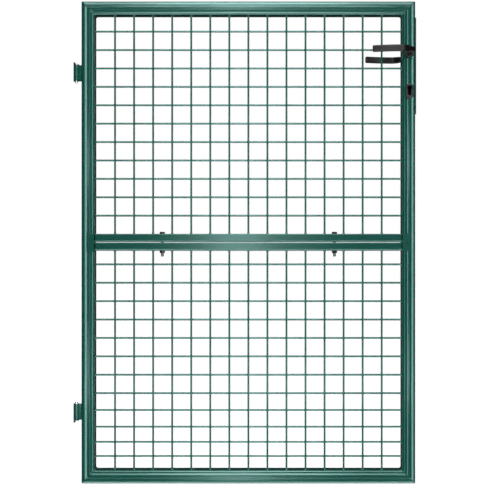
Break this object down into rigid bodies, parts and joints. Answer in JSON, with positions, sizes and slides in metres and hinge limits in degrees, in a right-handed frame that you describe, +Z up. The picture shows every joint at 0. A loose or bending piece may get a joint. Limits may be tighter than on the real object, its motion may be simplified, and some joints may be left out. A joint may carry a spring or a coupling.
{
  "type": "steel mesh garden gate leaf",
  "caption": "Upright rectangular gate leaf of rebated steel tube filled with welded wire mesh, with a bolted double mid rail, pin hinges at one side and a lever lock at the other.",
  "frame": {"origin": "centre of the lower hinge bracket's flat face, where it is screwed to the post", "axes": "+X from the post towards the lock side, +Y from the gate's front to its back, +Z up"},
  "size_m": [0.8915, 0.1808, 1.25],
  "materials": {
    "green_powder_coat": "gloss powder coat",
    "zinc_steel": "zinc plated",
    "black_coat": "satin black",
    "dark_plate": "satin dark grey",
    "black_plastic": "satin"
  },
  "bodies": {
    "post_side": {"upper_bracket": "zinc_steel", "lower_bracket": "zinc_steel", "upper_pin": "zinc_steel", "lower_pin": "zinc_steel"},
    "leaf": {"left_stile": "green_powder_coat", "right_stile": "green_powder_coat", "top_rail": "green_powder_coat", "bottom_rail": "green_powder_coat", "upper_mid_rail": "green_powder_coat", "lower_mid_rail": "green_powder_coat", "upper_mesh": "green_powder_coat", "lower_mesh": "green_powder_coat", "left_bolt": "zinc_steel", "right_bolt": "zinc_steel", "left_nut": "zinc_steel", "right_nut": "zinc_steel", "upper_barrel": "green_powder_coat", "lower_barrel": "green_powder_coat", "lock_case": "zinc_steel", "lock_face_plate": "black_coat", "latch_bolt": "zinc_steel", "dead_bolt": "zinc_steel", "upper_plate_screw": "zinc_steel", "lower_plate_screw": "zinc_steel", "key_cylinder": "black_coat", "front_keyhole_plate": "dark_plate", "back_keyhole_plate": "dark_plate", "front_rose": "black_plastic", "back_rose": "black_plastic"},
    "handle": {"front_lever": "black_plastic", "back_lever": "black_plastic", "spindle": "zinc_steel"}
  },
  "joints": [
    {"name": "leaf_swing", "type": "hinge", "parent": "post_side", "child": "leaf", "pos_m": [0.01, -0.0275, 0], "axis": [0, 0, -1], "range_deg": [0, 90]},
    {"name": "lever_press", "type": "hinge", "parent": "leaf", "child": "handle", "pos_m": [0.8735, -0.016, 0.93625], "axis": [0, -1, 0], "range_deg": [0, 38], "stiffness_Nm_per_rad": 1.2, "springref_deg": -20.05}
  ]
}
